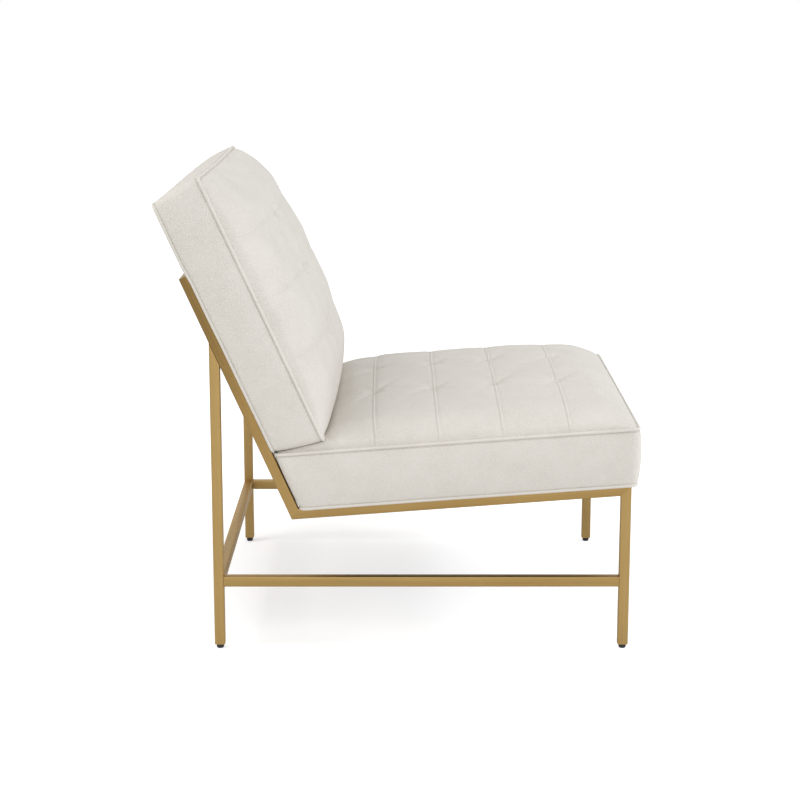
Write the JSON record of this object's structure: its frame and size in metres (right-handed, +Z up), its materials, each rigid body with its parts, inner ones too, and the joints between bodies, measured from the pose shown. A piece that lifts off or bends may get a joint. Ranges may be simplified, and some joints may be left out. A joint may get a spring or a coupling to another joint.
{
  "type": "lounge chair",
  "caption": "Armless lounge chair with a tufted leather seat cushion and back cushion on a welded square-tube frame in brushed brass, with levelling glides.",
  "frame": {"origin": "on the floor, below the middle of the chair's overall box", "axes": "+Z up, the chair's front towards -Y, +X towards the sitter's left"},
  "size_m": [0.761, 0.8839, 0.8862],
  "materials": {
    "brushed_brass": "brushed, clear lacquered",
    "ivory_leather": "fine pebble grain, satin",
    "dust_cloth": "thin non-woven, matt",
    "foam": "cut polyurethane foam, matt",
    "plywood": "sanded birch plywood",
    "zinc_steel": "bright zinc plated",
    "black_nylon": "moulded, matt"
  },
  "bodies": {
    "chair": {"rear_leg_left": "brushed_brass", "rear_leg_right": "brushed_brass", "front_leg_left": "brushed_brass", "front_leg_right": "brushed_brass", "seat_rail_left": "brushed_brass", "seat_rail_right": "brushed_brass", "back_post_left": "brushed_brass", "back_post_right": "brushed_brass", "side_stretcher_left": "brushed_brass", "side_stretcher_right": "brushed_brass", "post_cap_left": "brushed_brass", "post_cap_right": "brushed_brass", "rear_stretcher": "brushed_brass", "seat_rear_rail": "brushed_brass", "seat_front_rail": "brushed_brass", "back_lower_rail": "brushed_brass", "back_top_rail": "brushed_brass", "seat_top_panel": "ivory_leather", "seat_boxing_cover": "ivory_leather", "seat_lower_welt": "ivory_leather", "seat_upper_welt": "ivory_leather", "back_front_panel": "ivory_leather", "back_boxing_cover": "ivory_leather", "back_rear_panel": "ivory_leather", "back_lower_welt": "ivory_leather", "back_upper_welt": "ivory_leather", "seat_dust_lining": "dust_cloth", "seat_foam_block": "foam", "seat_foam_topper": "foam", "back_foam_block": "foam", "back_foam_topper": "foam", "seat_board": "plywood", "back_board": "plywood", "seat_board_nuts": "zinc_steel", "seat_board_screws": "zinc_steel", "back_board_nuts": "zinc_steel", "back_board_screws": "zinc_steel", "glide_socket_rear_left": "black_nylon", "glide_socket_rear_right": "black_nylon", "glide_socket_front_left": "black_nylon", "glide_socket_front_right": "black_nylon"},
    "rear_left_glide": {"glide_rear_left": "black_nylon"},
    "rear_right_glide": {"glide_rear_right": "black_nylon"},
    "front_left_glide": {"glide_front_left": "black_nylon"},
    "front_right_glide": {"glide_front_right": "black_nylon"}
  },
  "joints": [
    {"name": "rear_left_glide_height", "type": "slide", "parent": "chair", "child": "rear_left_glide", "axis": [0, 0, -1], "range_m": [0, 0.006]},
    {"name": "rear_right_glide_height", "type": "slide", "parent": "chair", "child": "rear_right_glide", "axis": [0, 0, -1], "range_m": [0, 0.006]},
    {"name": "front_left_glide_height", "type": "slide", "parent": "chair", "child": "front_left_glide", "axis": [0, 0, -1], "range_m": [0, 0.006]},
    {"name": "front_right_glide_height", "type": "slide", "parent": "chair", "child": "front_right_glide", "axis": [0, 0, -1], "range_m": [0, 0.006]}
  ]
}
